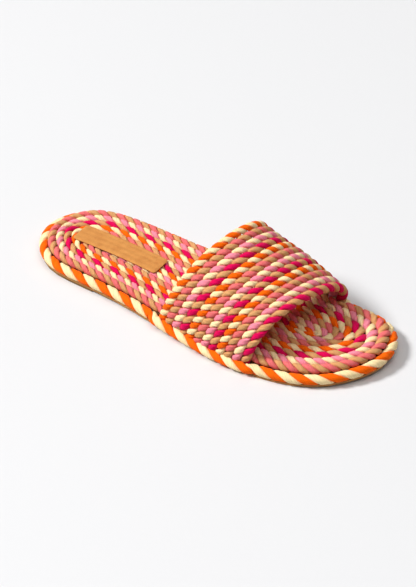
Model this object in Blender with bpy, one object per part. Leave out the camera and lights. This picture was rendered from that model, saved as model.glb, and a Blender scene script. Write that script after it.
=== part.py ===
import math

import bpy
import bmesh
import numpy as np

for item in list(bpy.data.objects):
    bpy.data.objects.remove(item, do_unlink=True)

# Driving dimensions in metres. X runs from heel to toe, Y to the inner side of this right shoe, Z up.
SOLE_LENGTH = 0.248
BALL_WIDTH = 0.0900
SEAT_CLEARANCE = 0.0003

OUTSOLE_THICKNESS = 0.0013
OUTSOLE_MARGIN = 0.0015
HEEL_LIFT_THICKNESS = 0.0016
HEEL_LIFT_LENGTH = 0.057
HEEL_LIFT_MARGIN = 0.0020
TOE_SPRING = 0.0030
TOE_SPRING_LENGTH = 0.060
FLAT_TREAD_LENGTH = 0.038
INSOLE_THICKNESS = 0.0036

EDGE_ROPE_DIAMETER = 0.0064
COIL_ROPE_HEIGHT = 0.0056
COIL_OVERHANG = 0.0010
RING_COUNT = 6
HEEL_TURN_LENGTH = 0.033
TOE_TURN_LENGTH = 0.043
HAIRPIN_RETURN = 0.018
CORE_HEEL_GAP = 0.008

STRAP_ROPE_COUNT = 12
STRAP_WALL = 0.0046
STRAP_RIDGE = 0.0019
STRAP_TONGUE = 0.0016
SLOT_CLEARANCE = 0.0006
STRAP_GROWTH = 0.0035
STRAP_SLOT_RAMP = 0.008
STRAP_SLOT_MARGIN = 0.0015
EDGE_PUSH = 0.0018
INSTEP_HEIGHT = 0.062

PATCH_LENGTH = 0.0630
PATCH_WIDTH = 0.0155
PATCH_THICKNESS = 0.0009
PATCH_HEEL_GAP = 0.0250
PATCH_SIDE_SHIFT = -0.0010

# The sole's outline: along is a share of SOLE_LENGTH, lateral and medial are shares of BALL_WIDTH.
OUTLINE_COLUMNS = ("along", "lateral", "medial")
OUTLINE = (
    (0.028, -0.226, 0.205),
    (0.081, -0.340, 0.332),
    (0.181, -0.381, 0.394),
    (0.323, -0.396, 0.404),
    (0.444, -0.438, 0.420),
    (0.565, -0.484, 0.442),
    (0.665, -0.505, 0.476),
    (0.746, -0.489, 0.481),
    (0.827, -0.441, 0.477),
    (0.907, -0.330, 0.455),
    (0.960, -0.175, 0.380),
)
HEEL_TIP_SIDE = -0.020
TOE_TIP_SIDE = 0.125

# The strap from its heel edge to its toe edge. Feet are shares of SOLE_LENGTH. The handles that give
# the arch its sides are shares of the span between the feet (out) and of INSTEP_HEIGHT (up).
# lean is how far forward the arch goes for each unit of height.
STRAP_COLUMNS = ("across", "lateral_foot", "medial_foot", "lateral_out", "lateral_up",
                 "medial_out", "medial_up", "lean")
STRAP = (
    (0.0, 0.443, 0.502, 0.18, 1.20, 0.448, 1.15, 0.37),
    (0.5, 0.586, 0.648, 0.12, 1.03, 0.315, 0.845, 0.32),
    (1.0, 0.722, 0.794, 0.06, 0.92, 0.20, 0.42, 0.26),
)

# Mesh resolution. RUN_WEIGHT is how much even spacing counts against spacing by turn, KINK_SPACING the
# fine samples kept free around a kink, SHEET_END_TURN and STRAP_END_WEIGHT crowd stations at the ends.
FINE_SAMPLES = 960
RING_STATIONS = 56
RUN_WEIGHT = 3.0
KINK_SPACING = 5
TUBE_SIDES = 8
SHEET_STATIONS = 26
SHEET_END_TURN = 0.10
SHEET_STATION_GAP = 0.003
STRAP_STATIONS = 24
STRAP_END_WEIGHT = 0.65
STRAP_FRAME_STEP = 0.002
RIDGE_STEPS = 3
RIDGE_ROUNDNESS = 0.8
PATCH_STATIONS = 9
SMOOTH_ANGLE = math.radians(50)

# Finishes: linear colours and roughness.
CORD_COLORS = {
    "orange": (0.95, 0.35, 0.05),
    "salmon": (0.80, 0.30, 0.27),
    "pink": (0.90, 0.45, 0.50),
    "magenta": (0.70, 0.08, 0.22),
}
RING_DYES = ("salmon", "pink", "magenta", "orange")
CORD_ROUGHNESS = 0.85
OUTSOLE_COLOR = (0.52, 0.33, 0.16)
OUTSOLE_ROUGHNESS = 0.6
HEEL_LIFT_COLOR = (0.24, 0.17, 0.09)
HEEL_LIFT_ROUGHNESS = 0.7
INSOLE_COLOR = (0.55, 0.43, 0.28)
INSOLE_ROUGHNESS = 0.9
PATCH_COLOR = (0.68, 0.42, 0.20)
PATCH_ROUGHNESS = 0.8


def ramp(value, start, end):
    t = np.clip((np.asarray(value, float) - start) / (end - start), 0.0, 1.0)
    return t * t * (3.0 - 2.0 * t)


def table_row(table, columns, at):
    keys = [row[0] for row in table]
    return {name: float(np.interp(at, keys, [row[i] for row in table]))
            for i, name in enumerate(columns)}


def smooth_closed_curve(points, samples):
    """Periodic cubic spline through anticlockwise points, with its outward unit normals."""
    points = np.asarray(points, float)
    count = len(points)
    step = np.linalg.norm(np.roll(points, -1, axis=0) - points, axis=1)
    back = np.roll(step, 1)
    matrix = np.zeros((count, count))
    rows = np.arange(count)
    matrix[rows, rows] = 2.0 * (step + back)
    matrix[rows, (rows - 1) % count] = step
    matrix[rows, (rows + 1) % count] = back
    ahead = (np.roll(points, -1, axis=0) - points) / step[:, None]
    behind = np.roll(ahead, 1, axis=0)
    slope = np.linalg.solve(matrix, 3.0 * (step[:, None] * behind + back[:, None] * ahead))
    spot = np.linspace(0.0, count, samples, endpoint=False)
    i = spot.astype(int)
    t = (spot - i)[:, None]
    j = (i + 1) % count
    h = step[i][:, None]
    curve = ((2 * t**3 - 3 * t**2 + 1) * points[i] + (t**3 - 2 * t**2 + t) * h * slope[i]
             + (3 * t**2 - 2 * t**3) * points[j] + (t**3 - t**2) * h * slope[j])
    tangent = np.roll(curve, -1, axis=0) - np.roll(curve, 1, axis=0)
    normal = np.stack([tangent[:, 1], -tangent[:, 0]], axis=1)
    return curve, normal / np.linalg.norm(normal, axis=1)[:, None]


def outline_points():
    lateral = [(row[0] * SOLE_LENGTH, row[1] * BALL_WIDTH) for row in OUTLINE]
    medial = [(row[0] * SOLE_LENGTH, row[2] * BALL_WIDTH) for row in reversed(OUTLINE)]
    heel = [(0.0, HEEL_TIP_SIDE * BALL_WIDTH)]
    toe = [(SOLE_LENGTH, TOE_TIP_SIDE * BALL_WIDTH)]
    return heel + lateral + toe + medial


FINE_OUTLINE, FINE_NORMAL = smooth_closed_curve(outline_points(), FINE_SAMPLES)

# The strap's feet: side of the sole and column of STRAP.
SLOT_SIDES = ((-1, "lateral_foot"), (1, "medial_foot"))


def slot_span(column):
    """Where along the sole the gap for the strap's feet starts and ends on one side."""
    first = table_row(STRAP, STRAP_COLUMNS, 0.0)[column] * SOLE_LENGTH
    last = table_row(STRAP, STRAP_COLUMNS, 1.0)[column] * SOLE_LENGTH
    return first - STRAP_SLOT_MARGIN, last + STRAP_SLOT_MARGIN


def slot_kinks():
    """Indices on the fine outline where the edge rope starts and stops being pushed out."""
    found = []
    for side, column in SLOT_SIDES:
        low, high = slot_span(column)
        on_side = FINE_OUTLINE[:, 1] * side > 0.0
        for x in (low - STRAP_SLOT_RAMP, low, high, high + STRAP_SLOT_RAMP):
            distance = np.where(on_side, np.abs(FINE_OUTLINE[:, 0] - x), SOLE_LENGTH)
            found.append(int(distance.argmin()))
    return np.array(found)


def stations(count):
    """Indices on the fine outline, closer together where it turns and with one at each kink."""
    turn = np.arccos(np.clip((FINE_NORMAL * np.roll(FINE_NORMAL, -1, axis=0)).sum(axis=1), -1.0, 1.0))
    run = np.linalg.norm(np.roll(FINE_OUTLINE, -1, axis=0) - FINE_OUTLINE, axis=1)
    measure = np.cumsum(RUN_WEIGHT * run / run.sum() + turn / turn.sum())
    even = np.searchsorted(measure, np.linspace(0.0, measure[-1], count, endpoint=False))
    kinks = slot_kinks()
    apart = np.abs(even[:, None] - kinks).min(axis=1) > KINK_SPACING
    return np.sort(np.append(even[apart], kinks))


RING_INDEX = stations(RING_STATIONS)
OUTLINE_AT = FINE_OUTLINE[RING_INDEX]
NORMAL_AT = FINE_NORMAL[RING_INDEX]

# Heights above the floor.
SEAT_HEIGHT = HEEL_LIFT_THICKNESS + SEAT_CLEARANCE
SPRING_START = SOLE_LENGTH - TOE_SPRING_LENGTH
TREAD_START = SPRING_START - FLAT_TREAD_LENGTH


def sole_rise(x):
    """Height of the outsole's underside: heel seat, arch, flat tread, toe spring."""
    heel = SEAT_HEIGHT * (1.0 - ramp(x, HEEL_LIFT_LENGTH, TREAD_START))
    toe = np.clip((np.asarray(x, float) - SPRING_START) / TOE_SPRING_LENGTH, 0.0, None)
    return heel + TOE_SPRING * toe * toe


INSOLE_BASE = OUTSOLE_THICKNESS + SEAT_CLEARANCE
INSOLE_TOP = INSOLE_BASE + INSOLE_THICKNESS
COIL_BASE = INSOLE_TOP + SEAT_CLEARANCE
COIL_MIDDLE = COIL_BASE + COIL_ROPE_HEIGHT / 2
COIL_TOP = COIL_BASE + COIL_ROPE_HEIGHT
EDGE_RADIUS = EDGE_ROPE_DIAMETER / 2
EDGE_MIDDLE = OUTSOLE_THICKNESS + SEAT_CLEARANCE + EDGE_RADIUS

# Where the strap's ends go down, the edge rope is pushed out and the coil in.
SLOT_WIDTH = STRAP_TONGUE + 2 * SLOT_CLEARANCE
COIL_INSET = EDGE_ROPE_DIAMETER - COIL_OVERHANG + SEAT_CLEARANCE


def slot_share(points):
    """1 beside the strap's feet and 0 elsewhere, for points on the outline."""
    share = np.zeros(len(points))
    x = points[:, 0]
    for side, column in SLOT_SIDES:
        low, high = slot_span(column)
        here = ramp(x, low - STRAP_SLOT_RAMP, low) * (1.0 - ramp(x, high, high + STRAP_SLOT_RAMP))
        share = np.where(points[:, 1] * side > 0.0, here, share)
    return share


def edge_inset(points):
    return EDGE_RADIUS - EDGE_PUSH * slot_share(points)


def slot_outer(points):
    """Inset of the edge rope's inner side."""
    return edge_inset(points) + EDGE_RADIUS


def coil_inset(points):
    """Inset of the coil's outer side."""
    opened = slot_outer(points) + SLOT_WIDTH
    share = slot_share(points)
    return COIL_INSET * (1.0 - share) + opened * share


def offset_outline(inset):
    return OUTLINE_AT - NORMAL_AT * inset(OUTLINE_AT)[:, None]


def side_at(points, x, side):
    """Y of a closed outline on one side at each x."""
    tip = points[:, 0].argmax()
    heel = points[:, 0].argmin()
    order = np.roll(np.arange(len(points)), -heel)
    cut = int(np.where(order == tip)[0][0])
    half = order[:cut + 1] if side < 0 else np.append(order[cut:], order[0])[::-1]
    return np.interp(x, points[half, 0], points[half, 1])


def middle_line(x):
    return (side_at(FINE_OUTLINE, x, -1) + side_at(FINE_OUTLINE, x, 1)) / 2


COIL_EDGE = offset_outline(coil_inset)
SPINE_START = COIL_EDGE[:, 0].min() + HEEL_TURN_LENGTH
SPINE_END = COIL_EDGE[:, 0].max() - TOE_TURN_LENGTH
LAYER_COUNT = RING_COUNT + 1


def spine_points(points):
    """The point on the coil's middle line that each point of the outline shrinks towards."""
    x = SPINE_START + (SPINE_END - SPINE_START) * points[:, 0] / SOLE_LENGTH
    return np.stack([x, middle_line(x)], axis=1)


SPINE_AT = spine_points(OUTLINE_AT)


def coil_curve(layer):
    """One layer of the coil: middle line, direction to the coil's edge, half width that way."""
    share = 1.0 - (layer - 0.5) / LAYER_COUNT
    arm = COIL_EDGE - SPINE_AT
    curve = SPINE_AT + arm * share
    tangent = np.roll(curve, -1, axis=0) - np.roll(curve, 1, axis=0)
    normal = np.stack([tangent[:, 1], -tangent[:, 0]], axis=1)
    normal /= np.linalg.norm(normal, axis=1)[:, None]
    reach = np.linalg.norm(arm, axis=1)
    outward = arm / reach[:, None]
    gap = SEAT_CLEARANCE / (outward * normal).sum(axis=1)
    return curve, outward, (reach / LAYER_COUNT - gap) / 2


# The part's origin is on the floor, in the middle of its length and of its width over the edge rope.
ROPE_SIDE = OUTLINE_AT + NORMAL_AT * (EDGE_PUSH * slot_share(OUTLINE_AT))[:, None]
ORIGIN = np.array([SOLE_LENGTH / 2, (ROPE_SIDE[:, 1].min() + ROPE_SIDE[:, 1].max()) / 2, 0.0])


def make_object(name, vertices, faces, color, roughness):
    mesh = bpy.data.meshes.new(name)
    mesh.from_pydata([tuple(v) for v in np.array(vertices) - ORIGIN], [], faces)
    bm = bmesh.new()
    bm.from_mesh(mesh)
    bmesh.ops.recalc_face_normals(bm, faces=bm.faces)
    bm.to_mesh(mesh)
    bm.free()
    mesh.shade_smooth()
    mesh.set_sharp_from_angle(angle=SMOOTH_ANGLE)
    material = bpy.data.materials.new(name + "_finish")
    material.use_nodes = True
    shader = material.node_tree.nodes["Principled BSDF"]
    shader.inputs["Base Color"].default_value = (*color, 1.0)
    shader.inputs["Roughness"].default_value = roughness
    mesh.materials.append(material)
    made = bpy.data.objects.new(name, mesh)
    bpy.context.collection.objects.link(made)
    return made


def tube_mesh(centres, sideways, half_widths, half_height, closed):
    """A tube of elliptical section around a route, with capped ends where it is open."""
    vertices, faces = [], []
    count = len(centres)
    for centre, side, half in zip(centres, sideways, half_widths):
        for k in range(TUBE_SIDES):
            angle = 2.0 * math.pi * k / TUBE_SIDES
            across = half * math.cos(angle)
            vertices.append((centre[0] + side[0] * across, centre[1] + side[1] * across,
                             centre[2] + half_height * math.sin(angle)))
    for i in range(count if closed else count - 1):
        a, b = i * TUBE_SIDES, ((i + 1) % count) * TUBE_SIDES
        for k in range(TUBE_SIDES):
            m = (k + 1) % TUBE_SIDES
            faces.append((a + k, b + k, b + m, a + m))
    if not closed:
        faces.append(tuple(range(TUBE_SIDES)))
        faces.append(tuple(range((count - 1) * TUBE_SIDES, count * TUBE_SIDES)))
    return vertices, faces


def sheet_mesh(inset, base, top, rise, x_end=None):
    """A sheet with the sole's outline, made of cross strips; base and top are measured from rise(x)."""
    points = FINE_OUTLINE - FINE_NORMAL * inset
    first, last = points[:, 0].min(), points[:, 0].max()
    turn = np.linspace(SHEET_END_TURN, math.pi - SHEET_END_TURN, SHEET_STATIONS)
    xs = first + (last - first) * (1.0 - np.cos(turn)) / 2.0
    bends = np.array([HEEL_LIFT_LENGTH, TREAD_START, SPRING_START])
    apart = np.abs(xs[:, None] - bends).min(axis=1) > SHEET_STATION_GAP
    xs = np.sort(np.append(xs[apart], bends))
    if x_end is not None:
        xs = np.append(xs[xs < x_end - SHEET_STATION_GAP], x_end)
    vertices, faces = [], []
    for x in xs:
        y_low, y_high = side_at(points, x, -1), side_at(points, x, 1)
        z = float(rise(x))
        vertices += [(x, y_low, z + base), (x, y_high, z + base), (x, y_high, z + top), (x, y_low, z + top)]
    for i in range(len(xs) - 1):
        a, b = 4 * i, 4 * i + 4
        for k in range(4):
            m = (k + 1) % 4
            faces.append((a + k, a + m, b + m, b + k))
    faces.append((0, 1, 2, 3))
    end = 4 * (len(xs) - 1)
    faces.append((end, end + 1, end + 2, end + 3))
    return vertices, faces


def make_sheets():
    vertices, faces = sheet_mesh(OUTSOLE_MARGIN, 0.0, OUTSOLE_THICKNESS, sole_rise)
    make_object("outsole", vertices, faces, OUTSOLE_COLOR, OUTSOLE_ROUGHNESS)
    vertices, faces = sheet_mesh(HEEL_LIFT_MARGIN, 0.0, HEEL_LIFT_THICKNESS,
                                 lambda x: 0.0, HEEL_LIFT_LENGTH)
    make_object("heel_lift", vertices, faces, HEEL_LIFT_COLOR, HEEL_LIFT_ROUGHNESS)
    margin = EDGE_ROPE_DIAMETER + SEAT_CLEARANCE
    vertices, faces = sheet_mesh(margin, INSOLE_BASE, INSOLE_TOP, sole_rise)
    make_object("insole_board", vertices, faces, INSOLE_COLOR, INSOLE_ROUGHNESS)


def with_height(points, height):
    return np.column_stack([points, sole_rise(points[:, 0]) + height])


def make_edge_rope():
    centres = with_height(offset_outline(edge_inset), EDGE_MIDDLE)
    half = np.full(len(centres), EDGE_RADIUS)
    vertices, faces = tube_mesh(centres, NORMAL_AT, half, EDGE_RADIUS, True)
    make_object("edge_rope", vertices, faces, CORD_COLORS["orange"], CORD_ROUGHNESS)


def make_rings():
    for layer in range(1, RING_COUNT + 1):
        curve, outward, half = coil_curve(layer)
        centres = with_height(curve, COIL_MIDDLE)
        vertices, faces = tube_mesh(centres, outward, half, COIL_ROPE_HEIGHT / 2, True)
        dye = RING_DYES[(layer - 1) % len(RING_DYES)]
        make_object("footbed_ring_%d" % layer, vertices, faces, CORD_COLORS[dye], CORD_ROUGHNESS)


def make_core():
    """The innermost layer is two strands: orange turns back at the toe, magenta fills in."""
    curve, outward, half = coil_curve(LAYER_COUNT)
    heel = int(curve[:, 0].argmin())
    order = np.roll(np.arange(len(curve)), -heel)
    tip = int(np.where(order == curve[:, 0].argmax())[0][0])
    turned_back = curve[order[tip:], 0] > SPINE_END - HAIRPIN_RETURN
    split = tip + int(np.argmin(turned_back))
    clear = np.where(curve[order, 0] > curve[heel, 0] + CORE_HEEL_GAP)[0]
    centres = with_height(curve, COIL_MIDDLE)
    for dye, part in (("orange", order[clear[0]:split]), ("magenta", order[split:clear[-1] + 1])):
        vertices, faces = tube_mesh(centres[part], outward[part], half[part],
                                    COIL_ROPE_HEIGHT / 2, False)
        make_object("core_strand_" + dye, vertices, faces, CORD_COLORS[dye], CORD_ROUGHNESS)


def make_patch():
    vertices, faces = [], []
    low = COIL_TOP + SEAT_CLEARANCE
    for x in np.linspace(PATCH_HEEL_GAP, PATCH_HEEL_GAP + PATCH_LENGTH, PATCH_STATIONS):
        middle = float(middle_line(x)) + PATCH_SIDE_SHIFT
        z = float(sole_rise(x))
        high = low + PATCH_THICKNESS
        for y, height in ((-0.5, low), (0.5, low), (0.5, high), (-0.5, high)):
            vertices.append((x, middle + y * PATCH_WIDTH, z + height))
    for i in range(PATCH_STATIONS - 1):
        a, b = 4 * i, 4 * i + 4
        for k in range(4):
            m = (k + 1) % 4
            faces.append((a + k, a + m, b + m, b + k))
    faces.append((0, 1, 2, 3))
    end = 4 * (PATCH_STATIONS - 1)
    faces.append((end, end + 1, end + 2, end + 3))
    make_object("sock_patch", vertices, faces, PATCH_COLOR, PATCH_ROUGHNESS)


STRAP_INSET = EDGE_ROPE_DIAMETER - EDGE_PUSH + SLOT_WIDTH / 2
STRAP_SLOT = FINE_OUTLINE - FINE_NORMAL * STRAP_INSET


def strap_foot(x, side):
    """Where a cord of the strap goes down between the edge rope and the coil."""
    return np.array([x, float(side_at(STRAP_SLOT, x, side))])


def strap_rise(row, t):
    """How much the sole under the strap's feet lifts the arch."""
    lateral = float(sole_rise(row["lateral_foot"] * SOLE_LENGTH))
    medial = float(sole_rise(row["medial_foot"] * SOLE_LENGTH))
    return lateral * (1.0 - t) + medial * t


def strap_point(across, t):
    """Middle of the strap's wall: across runs from its heel edge to its toe edge, t over the arch."""
    row = table_row(STRAP, STRAP_COLUMNS, across)
    lateral = strap_foot(row["lateral_foot"] * SOLE_LENGTH, -1)
    medial = strap_foot(row["medial_foot"] * SOLE_LENGTH, 1)
    s = 1.0 - t
    swing = -3 * s * s * t * row["lateral_out"] + 3 * s * t * t * (1.0 + row["medial_out"]) + t**3
    climb = (3 * s * s * t * row["lateral_up"] + 3 * s * t * t * row["medial_up"]) * INSTEP_HEIGHT
    x, y = lateral + (medial - lateral) * swing
    x += row["lean"] * climb
    return np.array([x, y, strap_rise(row, t) + COIL_BASE + climb])


def strap_frame(across, t):
    step = STRAP_FRAME_STEP
    point = strap_point(across, t)
    before, after = strap_point(across, max(t - step, 0.0)), strap_point(across, min(t + step, 1.0))
    back, front = strap_point(max(across - step, 0.0), t), strap_point(min(across + step, 1.0), t)
    outward = np.cross(after - before, back - front)
    return point, outward / np.linalg.norm(outward)


def strap_wall(across, height, outer):
    """Distance from the middle of the wall to its outer or inner face, at a height over the outsole."""
    tongue = STRAP_TONGUE / 2
    if not outer:
        grown = float(ramp(height, COIL_TOP, COIL_TOP + STRAP_GROWTH))
        return -(tongue + (STRAP_WALL / 2 - tongue) * grown)
    rib = across * STRAP_ROPE_COUNT
    bump = abs(math.sin(math.pi * rib)) ** RIDGE_ROUNDNESS
    full = STRAP_WALL / 2 - STRAP_RIDGE + STRAP_RIDGE * bump
    start = EDGE_MIDDLE + EDGE_RADIUS / 2
    grown = float(ramp(height, start, start + STRAP_GROWTH))
    return tongue + (full - tongue) * grown


def make_strap():
    """One wall: the outer face has a ridge for each cord, and the inner face is plain."""
    outer_steps = STRAP_ROPE_COUNT * RIDGE_STEPS
    outer_across = [i / outer_steps for i in range(outer_steps + 1)]
    inner_across = [i / STRAP_ROPE_COUNT for i in range(STRAP_ROPE_COUNT + 1)]
    section = [(a, True) for a in outer_across] + [(a, False) for a in reversed(inner_across)]
    size = len(section)
    vertices, faces = [], []
    arch = (1.0 - np.cos(np.linspace(0.0, math.pi, STRAP_STATIONS))) / 2.0
    even = np.linspace(0.0, 1.0, STRAP_STATIONS)
    for t in (1.0 - STRAP_END_WEIGHT) * even + STRAP_END_WEIGHT * arch:
        for across, outer in section:
            point, outward = strap_frame(across, t)
            height = point[2] - strap_rise(table_row(STRAP, STRAP_COLUMNS, across), t)
            vertices.append(point + outward * strap_wall(across, height, outer))
    for i in range(STRAP_STATIONS - 1):
        a, b = i * size, (i + 1) * size
        for k in range(size):
            m = (k + 1) % size
            faces.append((a + k, b + k, b + m, a + m))
    for start in (0, (STRAP_STATIONS - 1) * size):
        for rope in range(STRAP_ROPE_COUNT):
            outer = [start + rope * RIDGE_STEPS + k for k in range(RIDGE_STEPS + 1)]
            inner = [start + size - 1 - rope, start + size - 2 - rope]
            faces.append((*outer, inner[1], inner[0]))
    make_object("strap", vertices, faces, CORD_COLORS["salmon"], CORD_ROUGHNESS)


make_sheets()
make_edge_rope()
make_rings()
make_core()
make_patch()
make_strap()
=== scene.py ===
import math
import bpy
import bmesh
import numpy as np
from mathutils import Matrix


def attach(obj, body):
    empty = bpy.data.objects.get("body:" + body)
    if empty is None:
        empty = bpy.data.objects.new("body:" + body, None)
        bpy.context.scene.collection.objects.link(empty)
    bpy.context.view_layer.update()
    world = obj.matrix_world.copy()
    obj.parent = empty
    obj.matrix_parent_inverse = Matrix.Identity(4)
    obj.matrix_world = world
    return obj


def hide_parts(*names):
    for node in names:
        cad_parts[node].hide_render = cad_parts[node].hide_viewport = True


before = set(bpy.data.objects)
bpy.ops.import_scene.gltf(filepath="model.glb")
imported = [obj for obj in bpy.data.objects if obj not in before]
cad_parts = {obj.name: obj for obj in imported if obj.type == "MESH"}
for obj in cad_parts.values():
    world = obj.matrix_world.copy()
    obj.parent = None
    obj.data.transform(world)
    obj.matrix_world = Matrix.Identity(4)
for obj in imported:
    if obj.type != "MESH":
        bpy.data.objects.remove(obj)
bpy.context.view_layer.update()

# The sole's own sizes in metres, the same as the solids'
# x runs from the heel, y to the inner side, z from the floor
sole = {
    "length": 0.248, "ballWidth": 0.0900, "clearance": 0.0003,
    "outsole": 0.0013, "insole": 0.0036,
    "lift": 0.0016, "liftLength": 0.057,
    "toeSpring": 0.0030, "toeSpringLength": 0.060, "flatTread": 0.038,
}
# share of the length, then lateral and medial half widths as shares of the ball width
outlineTable = (
    (0.028, -0.226, 0.205),
    (0.081, -0.340, 0.332),
    (0.181, -0.381, 0.394),
    (0.323, -0.396, 0.404),
    (0.444, -0.438, 0.420),
    (0.565, -0.484, 0.442),
    (0.665, -0.505, 0.476),
    (0.746, -0.489, 0.481),
    (0.827, -0.441, 0.477),
    (0.907, -0.330, 0.455),
    (0.960, -0.175, 0.380),
)
toeTipSide = 0.125
heelTipSide = -0.020

coil = {  # fullness: a cord's width over the spacing of the rings
    "edgeDiameter": 0.0064, "ropeHeight": 0.0056, "overhang": 0.0010, "innerOverhang": 0.0016,
    "rings": 6, "heelTurn": 0.033, "toeTurn": 0.043,
    "hairpinReturn": 0.018, "coreHeelGap": 0.008, "fullness": 1.10,
}

strap = {  # its cords thin to tongues between the edge cord and ring 1
    "ropes": 12, "thickness": 0.0055, "tongue": 0.0030, "tongueSlot": 0.0016,
    "fullFrom": 0.0035, "fullAt": 0.0070, "footPush": 0.0024, "pushEnd": 0.026,
    "slotClearance": 0.0006, "slotRamp": 0.006, "slotMargin": 0.0002, "edgePush": 0.0018,
    "ringCloses": 0.0015, "ropeFullness": 1.14, "instep": 0.062,
    "stations": 60, "slopeStep": 0.002,
}
strapColumns = ("across", "lateralFoot", "medialFoot", "lateralOut", "lateralUp",
                "medialOut", "medialUp", "lean")
strapTable = (
    (0.0, 0.443, 0.502, 0.18, 1.20, 0.448, 1.15, 0.37),
    (0.5, 0.586, 0.648, 0.12, 1.03, 0.315, 0.845, 0.32),
    (1.0, 0.722, 0.794, 0.06, 0.92, 0.20, 0.42, 0.26),
)


# Shape of the sole

def ramp(value, start, end):
    t = np.clip((np.asarray(value, float) - start) / (end - start), 0.0, 1.0)
    return t * t * (3.0 - 2.0 * t)


def tableRow(table, columns, at):
    keys = [row[0] for row in table]
    return {name: float(np.interp(at, keys, [row[i] for row in table]))
            for i, name in enumerate(columns)}


def closedSpline(points, samples):  # periodic cubic spline, with outward normals
    points = np.asarray(points, float)
    count = len(points)
    step = np.linalg.norm(np.roll(points, -1, axis=0) - points, axis=1)
    back = np.roll(step, 1)
    matrix = np.zeros((count, count))
    rows = np.arange(count)
    matrix[rows, rows] = 2.0 * (step + back)
    matrix[rows, (rows - 1) % count] = step
    matrix[rows, (rows + 1) % count] = back
    ahead = (np.roll(points, -1, axis=0) - points) / step[:, None]
    behind = np.roll(ahead, 1, axis=0)
    slope = np.linalg.solve(matrix, 3.0 * (step[:, None] * behind + back[:, None] * ahead))
    spot = np.linspace(0.0, count, samples, endpoint=False)
    i = spot.astype(int)
    t = (spot - i)[:, None]
    j = (i + 1) % count
    h = step[i][:, None]
    curve = ((2 * t**3 - 3 * t**2 + 1) * points[i] + (t**3 - 2 * t**2 + t) * h * slope[i]
             + (3 * t**2 - 2 * t**3) * points[j] + (t**3 - t**2) * h * slope[j])
    return curve, sideways(curve)


def sideways(curve):  # outward unit normals of an anticlockwise closed route seen from above
    tangent = np.roll(curve, -1, axis=0) - np.roll(curve, 1, axis=0)
    normal = np.stack([tangent[:, 1], -tangent[:, 0]], axis=1)
    return normal / np.linalg.norm(normal, axis=1)[:, None]


def outlinePoints():
    length, width = sole["length"], sole["ballWidth"]
    lateral = [(row[0] * length, row[1] * width) for row in outlineTable]
    medial = [(row[0] * length, row[2] * width) for row in reversed(outlineTable)]
    return [(0.0, heelTipSide * width)] + lateral + [(length, toeTipSide * width)] + medial


outline, outlineNormal = closedSpline(outlinePoints(), 960)
springStart = sole["length"] - sole["toeSpringLength"]
treadStart = springStart - sole["flatTread"]
insoleTop = sole["outsole"] + sole["clearance"] + sole["insole"]
coilBase = insoleTop + sole["clearance"]
coilMiddle = coilBase + coil["ropeHeight"] / 2
coilTop = coilBase + coil["ropeHeight"]
edgeRadius = coil["edgeDiameter"] / 2
edgeMiddle = sole["outsole"] + sole["clearance"] + edgeRadius


def soleRise(x):  # height of the outsole's underside over the floor
    seat = sole["lift"] + sole["clearance"]
    heel = seat * (1.0 - ramp(x, sole["liftLength"], treadStart))
    toe = np.clip((np.asarray(x, float) - springStart) / sole["toeSpringLength"], 0.0, None)
    return heel + sole["toeSpring"] * toe * toe


def slotShare(points):  # 1 beside the strap's feet, where the edge rope is pushed out
    share = np.zeros(len(points))
    first, last = strapTable[0], strapTable[-1]
    for side, foot in ((-1, "lateralFoot"), (1, "medialFoot")):
        column = strapColumns.index(foot)
        low = first[column] * sole["length"] - strap["slotMargin"]
        high = last[column] * sole["length"] + strap["slotMargin"]
        x = points[:, 0]
        here = ramp(x, low - strap["slotRamp"], low) * (1.0 - ramp(x, high, high + strap["slotRamp"]))
        share = np.where(points[:, 1] * side > 0.0, here, share)
    return share


def sideAt(points, x, side):  # y of a closed outline on one side at each x
    tip, heel = points[:, 0].argmax(), points[:, 0].argmin()
    order = np.roll(np.arange(len(points)), -heel)
    cut = int(np.where(order == tip)[0][0])
    half = order[:cut + 1] if side < 0 else np.append(order[cut:], order[0])[::-1]
    return np.interp(x, points[half, 0], points[half, 1])


def middleLine(x):
    return (sideAt(outline, x, -1) + sideAt(outline, x, 1)) / 2


ropeSide = outline + outlineNormal * (strap["edgePush"] * slotShare(outline))[:, None]
originShift = np.array([sole["length"] / 2, (ropeSide[:, 1].min() + ropeSide[:, 1].max()) / 2, 0.0])
slotWidth = strap["tongueSlot"] + 2 * strap["slotClearance"]


def onSole(points, height):
    return np.column_stack([points, soleRise(points[:, 0]) + height]) - originShift


# Cord routes: centres, the direction that the squeeze works in, the radius and the squeeze

def edgeRoute():
    inset = edgeRadius - strap["edgePush"] * slotShare(outline)
    centres = onSole(outline - outlineNormal * inset[:, None], edgeMiddle - sole["clearance"])
    side = np.column_stack([outlineNormal, np.zeros(len(outline))])
    return {"points": centres, "side": side, "radius": np.full(len(outline), edgeRadius),
            "squeeze": np.ones(len(outline)), "closed": True}


def coilEdge():
    share = slotShare(outline)
    opened = coil["edgeDiameter"] - strap["edgePush"] * share + slotWidth - strap["ringCloses"]
    innerSide = ramp(outlineNormal[:, 1], 0.3, 0.9)  # the inner side rides further over the edge cord
    overhang = coil["overhang"] + coil["innerOverhang"] * innerSide
    closedUp = coil["edgeDiameter"] - overhang + sole["clearance"]
    inset = closedUp * (1.0 - share) + opened * share
    return outline - outlineNormal * inset[:, None]


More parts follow.
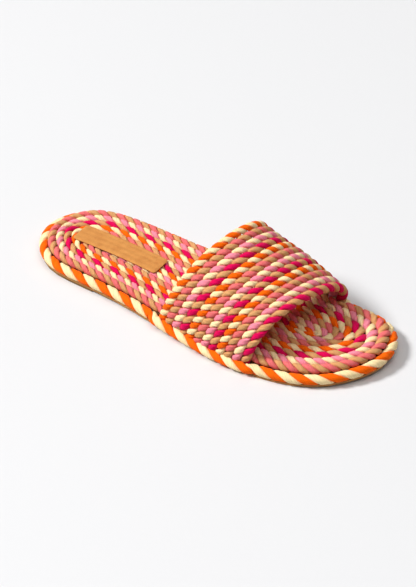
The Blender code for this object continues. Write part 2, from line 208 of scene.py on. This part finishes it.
def layerRoute(layer):
    layers = coil["rings"] + 1
    edge = coilEdge()
    start = edge[:, 0].min() + coil["heelTurn"]
    end = edge[:, 0].max() - coil["toeTurn"]
    x = start + (end - start) * outline[:, 0] / sole["length"]
    spine = np.stack([x, middleLine(x)], axis=1)
    arm = edge - spine
    curve = spine + arm * (1.0 - (layer - 0.5) / layers)
    normal = sideways(curve)
    pitch = np.abs((arm * normal).sum(axis=1)) / layers
    radius = np.full(len(curve), coil["ropeHeight"] / 2)
    return {"points": onSole(curve, coilMiddle), "side": np.column_stack([normal, np.zeros(len(curve))]),
            "radius": radius, "squeeze": coil["fullness"] * pitch / 2 / radius,
            "closed": True, "flat": curve}


def coreRoutes():
    route = layerRoute(coil["rings"] + 1)
    curve = route.pop("flat")
    heel = int(curve[:, 0].argmin())
    order = np.roll(np.arange(len(curve)), -heel)
    tip = int(np.where(order == curve[:, 0].argmax())[0][0])
    spineEnd = coilEdge()[:, 0].max() - coil["toeTurn"]
    turnedBack = curve[order[tip:], 0] > spineEnd - coil["hairpinReturn"]
    split = tip + int(np.argmin(turnedBack))
    clear = np.where(curve[order, 0] > curve[heel, 0] + coil["coreHeelGap"])[0]
    parts = (order[clear[0]:split], order[split:clear[-1] + 1])
    return [{key: (route[key][part] if key != "closed" else False) for key in route} for part in parts]


slotInset = coil["edgeDiameter"] - strap["edgePush"] + slotWidth / 2
strapSlot = outline - outlineNormal * slotInset


def strapPoint(across, t):
    row = tableRow(strapTable, strapColumns, across)
    feet = []
    for column, side in (("lateralFoot", -1), ("medialFoot", 1)):
        x = row[column] * sole["length"]
        feet.append(np.array([x, float(sideAt(strapSlot, x, side))]))
    lateral, medial = feet
    s = 1.0 - t
    swing = -3 * s * s * t * row["lateralOut"] + 3 * s * t * t * (1.0 + row["medialOut"]) + t**3
    climb = (3 * s * s * t * row["lateralUp"] + 3 * s * t * t * row["medialUp"]) * strap["instep"]
    x, y = lateral + (medial - lateral) * swing
    foot = soleRise(lateral[0]) * s + soleRise(medial[0]) * t
    return np.array([x + row["lean"] * climb, y, float(foot) + coilBase + climb])


def strapRoute(rope):
    across = (rope + 0.5) / strap["ropes"]
    half = 0.5 / strap["ropes"]
    step = strap["slopeStep"]
    points, side, radius, squeeze = [], [], [], []
    for t in np.linspace(0.0, 1.0, strap["stations"]):
        point = strapPoint(across, t)
        along = strapPoint(across, min(t + step, 1.0)) - strapPoint(across, max(t - step, 0.0))
        wide = strapPoint(across + half, t) - strapPoint(across - half, t)
        outward = np.cross(along, -wide)
        outward /= np.linalg.norm(outward)
        flatWide = wide - along * wide.dot(along) / along.dot(along)
        ropeRadius = strap["ropeFullness"] * np.linalg.norm(flatWide) / 2
        height = point[2] - float(soleRise(point[0]))
        grown = float(ramp(height, strap["fullFrom"], strap["fullAt"]))
        thick = strap["tongue"] + (strap["thickness"] - strap["tongue"]) * grown
        push = strap["footPush"] * (1.0 - float(ramp(height, strap["fullAt"], strap["pushEnd"])))
        push *= 1.0 - (2.0 * across - 1.0) ** 4  # the first and last cords keep close to ring 1
        points.append(point - originShift + push * outward)
        side.append(outward)
        radius.append(ropeRadius)
        squeeze.append(thick / 2 / ropeRadius)
    return {"points": np.array(points), "side": np.array(side), "radius": np.array(radius),
            "squeeze": np.array(squeeze), "closed": False}


# Geometry Nodes: plies twisted into a cord along a route

cord = {  # offset and width of a ply are shares of the cord's radius, sizes are in metres
    "plies": 2, "plyPoints": 14, "plyOffset": 0.45, "plyWidth": 0.78, "lay": 0.012,
    "spacing": 0.0008, "unevenness": 0.00018, "waverScale": 90.0,
}


def addNode(tree, kind, given=None):  # settings, fixed inputs and links, by name or number
    node = tree.nodes.new(kind)
    for key, value in (given or {}).items():
        if isinstance(value, bpy.types.NodeSocket):
            tree.links.new(value, node.inputs[key])
        elif str(key) in node.bl_rna.properties:
            setattr(node, key, value)
        else:
            node.inputs[key].default_value = value
    return node


def cordTree():
    tree = bpy.data.node_groups.new("twistedCord", "GeometryNodeTree")
    face = tree.interface
    face.new_socket("Geometry", in_out="INPUT", socket_type="NodeSocketGeometry")
    for name, kind, value in (("Lay Length", "Float", cord["lay"]), ("Phase", "Float", 0.0),
                              ("Plies", "Int", cord["plies"]), ("Ply Points", "Int", cord["plyPoints"]),
                              ("Ply Offset", "Float", cord["plyOffset"]),
                              ("Ply Width", "Float", cord["plyWidth"]),
                              ("Station Spacing", "Float", cord["spacing"]),
                              ("Unevenness", "Float", cord["unevenness"]),
                              ("Waver Scale", "Float", cord["waverScale"]),
                              ("Seed", "Float", 0.0), ("Closed", "Bool", False)):
        socket = face.new_socket(name, in_out="INPUT", socket_type="NodeSocket" + kind)
        socket.default_value = value
    face.new_socket("Material", in_out="INPUT", socket_type="NodeSocketMaterial")
    face.new_socket("Geometry", in_out="OUTPUT", socket_type="NodeSocketGeometry")
    given = addNode(tree, "NodeGroupInput").outputs
    position = addNode(tree, "GeometryNodeInputPosition").outputs[0]
    side, centre, radius, squeeze = [
        addNode(tree, "GeometryNodeInputNamedAttribute", {"data_type": kind, "Name": name}).outputs[0]
        for name, kind in (("side", "FLOAT_VECTOR"), ("centre", "FLOAT_VECTOR"), ("ropeRadius", "FLOAT"),
                           ("squeeze", "FLOAT"))]

    # the route, resampled, with a slight handmade waver
    curve = addNode(tree, "GeometryNodeMeshToCurve", {"Mesh": given["Geometry"]}).outputs[0]
    curve = addNode(tree, "GeometryNodeResampleCurve", {
        "mode": "LENGTH", "Curve": curve, "Length": given["Station Spacing"]}).outputs[0]
    noise = addNode(tree, "ShaderNodeTexNoise", {
        "noise_dimensions": "4D", "Vector": position, "W": given["Seed"],
        "Scale": given["Waver Scale"], "Detail": 1.0})
    waver = addNode(tree, "ShaderNodeVectorMath", {
        "operation": "SUBTRACT", 0: noise.outputs["Color"], 1: (0.5, 0.5, 0.5)}).outputs[0]
    reach = addNode(tree, "ShaderNodeMath", {
        "operation": "MULTIPLY", 0: given["Unevenness"], 1: 2.0}).outputs[0]
    waver = addNode(tree, "ShaderNodeVectorMath", {
        "operation": "SCALE", 0: waver, "Scale": reach}).outputs[0]
    curve = addNode(tree, "GeometryNodeSetPosition", {"Geometry": curve, "Offset": waver}).outputs[0]
    curve = addNode(tree, "GeometryNodeSetCurveNormal", {
        "mode": "FREE", "Curve": curve, "Normal": side}).outputs[0]

    # one turn for each lay length, and a whole number of turns where the cord is closed
    total = addNode(tree, "GeometryNodeSplineLength").outputs["Length"]
    turns = addNode(tree, "ShaderNodeMath", {
        "operation": "DIVIDE", 0: total, 1: given["Lay Length"]}).outputs[0]
    whole = addNode(tree, "ShaderNodeMath", {"operation": "ROUND", 0: turns}).outputs[0]
    turns = addNode(tree, "GeometryNodeSwitch", {
        "input_type": "FLOAT", "Switch": given["Closed"], "False": turns, "True": whole}).outputs[0]
    along = addNode(tree, "GeometryNodeSplineParameter").outputs
    turn = addNode(tree, "ShaderNodeMath", {
        "operation": "MULTIPLY", 0: along["Factor"], 1: turns}).outputs[0]
    twist = addNode(tree, "ShaderNodeMath", {
        "operation": "MULTIPLY_ADD", 0: turn, 1: 2.0 * math.pi, 2: given["Phase"]}).outputs[0]
    curve = addNode(tree, "GeometryNodeSetCurveTilt", {"Curve": curve, "Tilt": twist}).outputs[0]
    for name, kind, value in (("along", "FLOAT", along["Length"]), ("turn", "FLOAT", turn),
                              ("centre", "FLOAT_VECTOR", position)):
        curve = addNode(tree, "GeometryNodeStoreNamedAttribute", {
            "data_type": kind, "domain": "POINT", "Name": name, "Geometry": curve,
            "Value": value}).outputs[0]

    # one ply's section is a flattened round off the cord's axis, and the plies stand evenly round it
    ply = addNode(tree, "GeometryNodeCurvePrimitiveCircle", {
        "Radius": 1.0, "Resolution": given["Ply Points"]}).outputs[0]
    depth = addNode(tree, "ShaderNodeMath", {
        "operation": "SUBTRACT", 0: 1.0, 1: given["Ply Offset"]}).outputs[0]
    size = addNode(tree, "ShaderNodeCombineXYZ", {"X": depth, "Y": given["Ply Width"], "Z": 1.0}).outputs[0]
    middle = addNode(tree, "ShaderNodeCombineXYZ", {"X": given["Ply Offset"]}).outputs[0]
    shaped = addNode(tree, "ShaderNodeVectorMath", {
        "operation": "MULTIPLY_ADD", 0: position, 1: size, 2: middle}).outputs[0]
    ply = addNode(tree, "GeometryNodeSetPosition", {"Geometry": ply, "Position": shaped}).outputs[0]
    ply = addNode(tree, "GeometryNodeStoreNamedAttribute", {
        "data_type": "FLOAT_VECTOR", "domain": "POINT", "Name": "section", "Geometry": ply,
        "Value": position}).outputs[0]
    index = addNode(tree, "GeometryNodeInputIndex").outputs[0]
    spots = addNode(tree, "GeometryNodePoints", {"Count": given["Plies"]}).outputs[0]
    spots = addNode(tree, "GeometryNodeStoreNamedAttribute", {
        "data_type": "FLOAT", "domain": "POINT", "Name": "ply", "Geometry": spots,
        "Value": index}).outputs[0]
    share = addNode(tree, "ShaderNodeMath", {"operation": "DIVIDE", 0: index, 1: given["Plies"]}).outputs[0]
    angle = addNode(tree, "ShaderNodeMath", {
        "operation": "MULTIPLY", 0: share, 1: 2.0 * math.pi}).outputs[0]
    angle = addNode(tree, "ShaderNodeCombineXYZ", {"Z": angle}).outputs[0]
    plies = addNode(tree, "GeometryNodeInstanceOnPoints", {
        "Points": spots, "Instance": ply, "Rotation": angle}).outputs[0]
    plies = addNode(tree, "GeometryNodeRealizeInstances", {"Geometry": plies}).outputs[0]
    mesh = addNode(tree, "GeometryNodeCurveToMesh", {
        "Fill Caps": True, "Curve": curve, "Profile Curve": plies, "Scale": radius}).outputs[0]

    # pressed narrower or flatter along the side direction
    away = addNode(tree, "ShaderNodeVectorMath", {
        "operation": "SUBTRACT", 0: position, 1: centre}).outputs[0]
    offAxis = addNode(tree, "ShaderNodeVectorMath", {
        "operation": "DOT_PRODUCT", 0: away, 1: side}).outputs["Value"]
    change = addNode(tree, "ShaderNodeMath", {"operation": "SUBTRACT", 0: squeeze, 1: 1.0}).outputs[0]
    press = addNode(tree, "ShaderNodeMath", {"operation": "MULTIPLY", 0: offAxis, 1: change}).outputs[0]
    shift = addNode(tree, "ShaderNodeVectorMath", {
        "operation": "SCALE", 0: side, "Scale": press}).outputs[0]
    mesh = addNode(tree, "GeometryNodeSetPosition", {"Geometry": mesh, "Offset": shift}).outputs[0]
    mesh = addNode(tree, "GeometryNodeSetShadeSmooth", {"Geometry": mesh, "Shade Smooth": True}).outputs[0]
    mesh = addNode(tree, "GeometryNodeRealizeInstances", {"Geometry": mesh}).outputs[0]
    mesh = addNode(tree, "GeometryNodeSetMaterial", {
        "Geometry": mesh, "Material": given["Material"]}).outputs[0]
    addNode(tree, "NodeGroupOutput", {"Geometry": mesh})
    return tree


cordNodes = cordTree()


def routeMesh(name, route):
    points = route["points"]
    count = len(points)
    edges = [(i, (i + 1) % count) for i in range(count if route["closed"] else count - 1)]
    mesh = bpy.data.meshes.new(name)
    mesh.from_pydata([tuple(p) for p in points], edges, [])
    mesh.attributes.new("side", "FLOAT_VECTOR", "POINT").data.foreach_set("vector", route["side"].ravel())
    mesh.attributes.new("ropeRadius", "FLOAT", "POINT").data.foreach_set("value", route["radius"])
    mesh.attributes.new("squeeze", "FLOAT", "POINT").data.foreach_set("value", route["squeeze"])
    return mesh


def twistCord(name, route, material, **inputs):
    source = bpy.data.objects.new(name + "Route", routeMesh(name + "Route", route))
    bpy.context.collection.objects.link(source)
    modifier = source.modifiers.new("twist", "NODES")
    modifier.node_group = cordNodes
    sockets = {s.name: s.identifier for s in cordNodes.interface.items_tree if s.in_out == "INPUT"}
    inputs.update({"Closed": route["closed"], "Material": material})
    for key, value in inputs.items():
        modifier[sockets[key]] = value
    graph = bpy.context.evaluated_depsgraph_get()
    mesh = bpy.data.meshes.new_from_object(source.evaluated_get(graph), preserve_all_data_layers=True,
                                           depsgraph=graph)
    source.modifiers.remove(modifier)
    bpy.data.objects.remove(source, do_unlink=True)
    mesh.name = name
    return mesh


def showPiece(name, mesh, *nodes):
    piece = bpy.data.objects.new(name, mesh)
    bpy.context.collection.objects.link(piece)
    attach(piece, "root")
    if nodes:
        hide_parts(*nodes)
    return piece


def joinMeshes(name, meshes):
    made = [bpy.data.objects.new(name, mesh) for mesh in meshes]
    for item in made:
        bpy.context.collection.objects.link(item)
    with bpy.context.temp_override(active_object=made[0], selected_editable_objects=made):
        bpy.ops.object.join()
    mesh = made[0].data
    bpy.data.objects.remove(made[0], do_unlink=True)
    mesh.name = name
    return mesh


# Colours and materials

def linear(hexColour):
    values = [int(hexColour[i:i + 2], 16) / 255 for i in (0, 2, 4)]
    return tuple(v / 12.92 if v <= 0.04045 else ((v + 0.055) / 1.055) ** 2.4 for v in values) + (1.0,)


def newMaterial(name):
    material = bpy.data.materials.new(name)
    material.use_nodes = True
    return material, material.node_tree, material.node_tree.nodes["Principled BSDF"]


# each dye: the colour on a ply's crown, then a darker one that is painted shade for the groove beside it
dyeAndGrooveShade = {
    "orange": ("FA6600", "B83C04"), "cream": ("FDE2AC", "CC9644"), "salmon": ("E87070", "962C32"),
    "tan": ("D49C66", "8A4E22"), "pink": ("F58C9E", "B24058"), "magenta": ("D80052", "7C0034"),
}
yarn = {  # sizes in metres, lean in radians for a metre of cord
    "strandWidth": 0.0007, "strandLength": 0.005, "fibre": 0.00025,
    "strandRelief": 0.00040, "fibreRelief": 0.00012, "shadeRange": 0.16,
    "grooveShadeFrom": -0.80, "grooveShadeTo": 0.15, "lean": -260.0,
    "roughness": 0.9, "specular": 0.12, "sheen": 0.06, "sheenRoughness": 0.4,
}


# Dyed cotton cord, two plies of soft spun yarn twisted together
# It gives the eye matt colour, with painted shade deeper in the grooves, and faint streaks along each ply
# that are partly painted shade
def cottonCord(name, firstDye, secondDye):
    material, tree, shader = newMaterial("dyedCotton." + name)
    section = addNode(tree, "ShaderNodeAttribute", {"attribute_name": "section"}).outputs["Vector"]
    ply = addNode(tree, "ShaderNodeAttribute", {"attribute_name": "ply"}).outputs["Fac"]
    along = addNode(tree, "ShaderNodeAttribute", {"attribute_name": "along"}).outputs["Fac"]
    place = addNode(tree, "ShaderNodeTexCoord").outputs["Object"]
    parts = addNode(tree, "ShaderNodeSeparateXYZ", {0: section}).outputs
    # painted shade: each ply's colour darkens from its crown into the groove between the plies
    grooveShadeFade = addNode(tree, "ShaderNodeMapRange", {
        "interpolation_type": "SMOOTHSTEP", "Value": parts["X"], "From Min": yarn["grooveShadeFrom"],
        "From Max": yarn["grooveShadeTo"]}).outputs["Result"]
    plies = []
    for key in (firstDye, secondDye):
        plies.append(addNode(tree, "ShaderNodeMix", {
            "data_type": "RGBA", "Factor": grooveShadeFade, "A": linear(dyeAndGrooveShade[key][1]),
            "B": linear(dyeAndGrooveShade[key][0])}).outputs["Result"])
    colour = addNode(tree, "ShaderNodeMix", {
        "data_type": "RGBA", "Factor": ply, "A": plies[0], "B": plies[1]}).outputs["Result"]

    # strands run along each ply, leaning back against the twist
    scaled = addNode(tree, "ShaderNodeVectorMath", {
        "operation": "MULTIPLY", 0: section,
        1: (coil["ropeHeight"] / 2, coil["ropeHeight"] / 2, 0.0)}).outputs[0]
    run = addNode(tree, "ShaderNodeMath", {
        "operation": "MULTIPLY", 0: along, 1: yarn["strandWidth"] / yarn["strandLength"]}).outputs[0]
    lean = addNode(tree, "ShaderNodeMath", {"operation": "MULTIPLY", 0: along, 1: yarn["lean"]}).outputs[0]
    turned = addNode(tree, "ShaderNodeVectorRotate", {
        "rotation_type": "Z_AXIS", "Vector": scaled, "Angle": lean}).outputs[0]
    lengthwise = addNode(tree, "ShaderNodeCombineXYZ", {"Z": run}).outputs[0]
    strandPlace = addNode(tree, "ShaderNodeVectorMath", {
        "operation": "ADD", 0: turned, 1: lengthwise}).outputs[0]
    strands = addNode(tree, "ShaderNodeTexNoise", {
        "Vector": strandPlace, "Scale": 1.0 / yarn["strandWidth"], "Detail": 2.0}).outputs[0]
    fibres = addNode(tree, "ShaderNodeTexNoise", {
        "Vector": place, "Scale": 1.0 / yarn["fibre"], "Detail": 2.0}).outputs[0]
    # partly painted shade: the streaks are darker in the strand relief's hollows and lighter on its ridges,
    # on top of the yarn's own uneven tone
    shade = addNode(tree, "ShaderNodeMapRange", {
        "Value": strands, "From Min": 0.3, "From Max": 0.7, "To Min": 1.0 - yarn["shadeRange"],
        "To Max": 1.0 + yarn["shadeRange"]}).outputs["Result"]
    colour = addNode(tree, "ShaderNodeVectorMath", {
        "operation": "SCALE", 0: colour, "Scale": shade}).outputs[0]
    relief = addNode(tree, "ShaderNodeBump", {
        "Height": strands, "Strength": 1.0, "Distance": yarn["strandRelief"]}).outputs[0]
    relief = addNode(tree, "ShaderNodeBump", {
        "Height": fibres, "Strength": 1.0, "Distance": yarn["fibreRelief"], "Normal": relief}).outputs[0]
    tree.links.new(colour, shader.inputs["Base Color"])
    tree.links.new(relief, shader.inputs["Normal"])
    shader.inputs["Roughness"].default_value = yarn["roughness"]
    shader.inputs["Specular IOR Level"].default_value = yarn["specular"]
    shader.inputs["Sheen Weight"].default_value = yarn["sheen"]
    shader.inputs["Sheen Roughness"].default_value = yarn["sheenRoughness"]
    return material


# Sheet goods: one base colour clouded by a second, with a fine grain in the surface
def sheetMaterial(name, base, cloud, cloudSize, grainSize, grainRelief, roughness):
    material, tree, shader = newMaterial(name)
    place = addNode(tree, "ShaderNodeTexCoord").outputs["Object"]
    clouds = addNode(tree, "ShaderNodeTexNoise", {
        "Vector": place, "Scale": 1.0 / cloudSize, "Detail": 4.0}).outputs[0]
    grain = addNode(tree, "ShaderNodeTexNoise", {
        "Vector": place, "Scale": 1.0 / grainSize, "Detail": 3.0}).outputs[0]
    share = addNode(tree, "ShaderNodeMath", {
        "operation": "MULTIPLY_ADD", 0: grain, 1: 0.5, 2: clouds}).outputs[0]
    share = addNode(tree, "ShaderNodeMapRange", {
        "Value": share, "From Min": 0.5, "From Max": 1.0}).outputs["Result"]
    colour = addNode(tree, "ShaderNodeMix", {
        "data_type": "RGBA", "Factor": share, "A": linear(base), "B": linear(cloud)}).outputs["Result"]
    relief = addNode(tree, "ShaderNodeBump", {
        "Height": grain, "Strength": 1.0, "Distance": grainRelief}).outputs[0]
    tree.links.new(colour, shader.inputs["Base Color"])
    tree.links.new(relief, shader.inputs["Normal"])
    shader.inputs["Roughness"].default_value = roughness
    shader.inputs["Specular IOR Level"].default_value = 0.25
    return material


colourways = (
    ("orangeCream", "cream", "orange"),
    ("salmonTan", "tan", "salmon"),
    ("pinkCream", "cream", "pink"),
    ("magentaTan", "tan", "magenta"),
)
cords = [cottonCord(name, first, second) for name, first, second in colourways]

# how tightly each run of cord is laid, and where its twist starts
edgeTwist = {"lay": 0.0188, "phase": 1.08, "plyOffset": 0.40, "plyWidth": 0.86}
footbedTwist = {
    "lays": (0.0122, 0.0112, 0.0138, 0.0129, 0.0122, 0.0120), "coreLay": 0.0125,
    "phases": (-0.19, 0.22, 1.97, -1.07, -0.03, -1.67), "corePhases": (0.0, 0.0),
}
strapTwist = {
    "lays": (0.01075, 0.01086, 0.01174, 0.01252, 0.01028, 0.01117,
             0.01086, 0.01153, 0.01065, 0.01080, 0.01221, 0.01221),
    "phases": (1.86, -2.35, 0.19, -0.55, 1.95, 1.71, 1.01, 1.08, -1.83, -2.17, 1.22, -2.18),
}

print("stage: edge cord")
mesh = twistCord("edgeCord", edgeRoute(), cords[0], **{
    "Lay Length": edgeTwist["lay"], "Phase": edgeTwist["phase"],
    "Ply Offset": edgeTwist["plyOffset"], "Ply Width": edgeTwist["plyWidth"]})
showPiece("edgeCord", mesh, "edge_rope")

print("stage: footbed cords")
for layer in range(1, coil["rings"] + 1):
    route = layerRoute(layer)
    del route["flat"]
    way = layer % 4
    mesh = twistCord("footbedCord%d" % layer, route, cords[way], **{
        "Lay Length": footbedTwist["lays"][layer - 1], "Phase": footbedTwist["phases"][layer - 1],
        "Seed": float(layer)})
    showPiece("footbedCord%d" % layer, mesh, "footbed_ring_%d" % layer)
coreNames = (("coreCordOrange", "core_strand_orange", 0), ("coreCordMagenta", "core_strand_magenta", 3))
for route, (name, node, way), phase in zip(coreRoutes(), coreNames, footbedTwist["corePhases"]):
    mesh = twistCord(name, route, cords[way], **{
        "Lay Length": footbedTwist["coreLay"], "Phase": phase, "Seed": 9.0 + way})
    showPiece(name, mesh, node)

print("stage: strap cords")
meshes = []
for rope in range(strap["ropes"]):
    meshes.append(twistCord("strapCord%d" % rope, strapRoute(rope), cords[rope % 4], **{
        "Lay Length": strapTwist["lays"][rope], "Phase": strapTwist["phases"][rope], "Seed": 20.0 + rope}))
showPiece("strapCords", joinMeshes("strapCords", meshes), "strap")

print("stage: sheets")
patch = {"length": 0.0630, "width": 0.0155, "heelGap": 0.0250, "sideShift": -0.0010,
         "thickness": 0.0009, "edgeRound": 0.0004, "corner": 0.0016, "sag": 0.00025, "ropePitch": 0.0044,
         "steps": 72, "rows": 18}


def suedePatch():  # a strip that dips a little between the cords under it, with soft cut edges
    rows, steps = patch["rows"], patch["steps"]
    bm = bmesh.new()
    grid = []
    for i in range(steps + 1):
        x = patch["heelGap"] + patch["length"] * i / steps
        endways = min(i, steps - i) / steps * patch["length"]
        corner = patch["corner"]
        shorter = corner - math.sqrt(max(corner**2 - max(corner - endways, 0.0)**2, 0.0))
        half = patch["width"] / 2 - shorter
        row = []
        for j in range(rows + 1):
            v = 2.0 * j / rows - 1.0
            y = float(middleLine(x)) + patch["sideShift"] + half * v
            wave = math.cos(2.0 * math.pi * (y - float(middleLine(x))) / patch["ropePitch"])
            inner = min(endways, half * (1.0 - abs(v))) / patch["edgeRound"]
            rounded = patch["edgeRound"] * (1.0 - math.sqrt(max(1.0 - (1.0 - min(inner, 1.0))**2, 0.0)))
            z = patch["thickness"] - rounded - patch["sag"] * (0.5 + 0.5 * wave)
            row.append(bm.verts.new((x, y, z)))
        grid.append(row)
    for i in range(steps):
        for j in range(rows):
            bm.faces.new((grid[i][j], grid[i + 1][j], grid[i + 1][j + 1], grid[i][j + 1]))
    rim = [edge for edge in bm.edges if edge.is_boundary]
    skirt = bmesh.ops.extrude_edge_only(bm, edges=rim)["geom"]
    for vert in skirt:
        if isinstance(vert, bmesh.types.BMVert):
            vert.co.z = 0.0
    bmesh.ops.holes_fill(bm, edges=[edge for edge in bm.edges if edge.is_boundary])
    bmesh.ops.recalc_face_normals(bm, faces=bm.faces)
    base = coilTop + sole["clearance"]
    for vert in bm.verts:
        vert.co.z += base + float(soleRise(vert.co.x))
        vert.co.x -= originShift[0]
        vert.co.y -= originShift[1]
    mesh = bpy.data.meshes.new("suedePatch")
    bm.to_mesh(mesh)
    bm.free()
    mesh.shade_smooth()
    mesh.set_sharp_from_angle(angle=math.radians(50))
    return mesh


# Split leather, brushed: soft mottled tan with a short nap
suede = sheetMaterial("brushedSuede", base="CE8F4C", cloud="BC7B3E", cloudSize=0.004,
                      grainSize=0.0005, grainRelief=0.00014, roughness=0.95)
# Natural rubber sheet, cut: even tan, dull, with a fine sanded grain on its edge
soleRubber = sheetMaterial("rubberSheet", base="BF8A4E", cloud="A87340", cloudSize=0.012,
                           grainSize=0.0005, grainRelief=0.00008, roughness=0.7)
# Pressed leather fibre, stacked under the heel: olive brown, coarser and duller
heelFibre = sheetMaterial("pressedFibre", base="8A6A3C", cloud="6E5230", cloudSize=0.008,
                          grainSize=0.0007, grainRelief=0.00012, roughness=0.8)
# Cellulose board, hidden under the coil: its dark colour is painted shade where it shows through the gaps
# between the cords
gapShadeBoard = sheetMaterial("celluloseBoardGapShade", base="8A6038", cloud="6E4A2A", cloudSize=0.010,
                      grainSize=0.0010, grainRelief=0.00010, roughness=0.9)

mesh = suedePatch()
mesh.materials.append(suede)
showPiece("suedePatch", mesh, "sock_patch")
for node, material in (("outsole", soleRubber), ("heel_lift", heelFibre), ("insole_board", gapShadeBoard)):
    for slot in bpy.data.objects[node].material_slots:
        slot.material = material

print("stage: floor, light and camera")
stage = {"floor": "D8D8D9", "floorHalf": 3.0, "floorGrain": 0.0025, "floorRelief": 0.00005,
         "sky": 0.10, "keyPower": 300.0, "keySize": 1.2, "keyPlace": (-3.0, -2.1, 3.7),
         "topPower": 42.0, "topSize": 6.0, "topHeight": 3.2,
         "fillPower": 44.0, "fillSize": 2.4, "fillPlace": (0.9, -0.5, 3.5)}


# Painted studio floor: near white, dull, with a barely felt grain
def makeFloor():
    mesh = bpy.data.meshes.new("floor")
    far = stage["floorHalf"]
    mesh.from_pydata([(-far, -far, 0), (far, -far, 0), (far, far, 0), (-far, far, 0)], [], [(0, 1, 2, 3)])
    floor = bpy.data.objects.new("floor", mesh)
    bpy.context.collection.objects.link(floor)
    material, tree, shader = newMaterial("dullFloorPaint")
    place = addNode(tree, "ShaderNodeTexCoord").outputs["Object"]
    grain = addNode(tree, "ShaderNodeTexNoise", {
        "Vector": place, "Scale": 1.0 / stage["floorGrain"], "Detail": 2.0}).outputs[0]
    relief = addNode(tree, "ShaderNodeBump", {
        "Height": grain, "Strength": 1.0, "Distance": stage["floorRelief"]}).outputs[0]
    tree.links.new(relief, shader.inputs["Normal"])
    shader.inputs["Base Color"].default_value = linear(stage["floor"])
    shader.inputs["Roughness"].default_value = 0.9
    shader.inputs["Specular IOR Level"].default_value = 0.1
    mesh.materials.append(material)


def areaLight(name, power, size, place):
    lamp = bpy.data.lights.new(name, "AREA")
    lamp.energy = power
    lamp.size = size
    item = bpy.data.objects.new(name, lamp)
    item.location = place
    item.rotation_euler = (-item.location.normalized()).to_track_quat("-Z", "Y").to_euler()
    bpy.context.collection.objects.link(item)


def makeLight():
    world = bpy.data.worlds.new("studio")
    bpy.context.scene.world = world
    world.use_nodes = True
    world.node_tree.nodes["Background"].inputs["Color"].default_value = (1.0, 1.0, 1.0, 1.0)
    world.node_tree.nodes["Background"].inputs["Strength"].default_value = stage["sky"]
    areaLight("key", stage["keyPower"], stage["keySize"], stage["keyPlace"])
    areaLight("top", stage["topPower"], stage["topSize"], (0.0, 0.0, stage["topHeight"]))
    areaLight("fill", stage["fillPower"], stage["fillSize"], stage["fillPlace"])
    bpy.context.scene.view_settings.view_transform = "Standard"


makeFloor()
makeLight()

# The camera stands where the photograph's stood from this shoe, and is turned to it
# Sizes are metres, and the lens is in pixels of a picture of frameHeight
view = {"place": (0.7233, -1.0665, 1.0755), "aim": (0.002, -0.004, 0.012),
        "lens": 2700.0, "frameHeight": 587, "clipStart": 0.05, "clipEnd": 20.0}


def makeCamera():
    data = bpy.data.cameras.new("camera")
    data.sensor_fit = "AUTO"
    data.sensor_width = 36.0
    data.lens = view["lens"] * data.sensor_width / view["frameHeight"]
    camera = bpy.data.objects.new("camera", data)
    bpy.context.collection.objects.link(camera)
    camera.location = view["place"]
    aim = camera.location.copy()
    for i in range(3):
        aim[i] = view["aim"][i] - camera.location[i]
    camera.rotation_euler = aim.to_track_quat("-Z", "Y").to_euler()
    data.clip_start, data.clip_end = view["clipStart"], view["clipEnd"]
    bpy.context.scene.camera = camera


makeCamera()

print("stage: done")
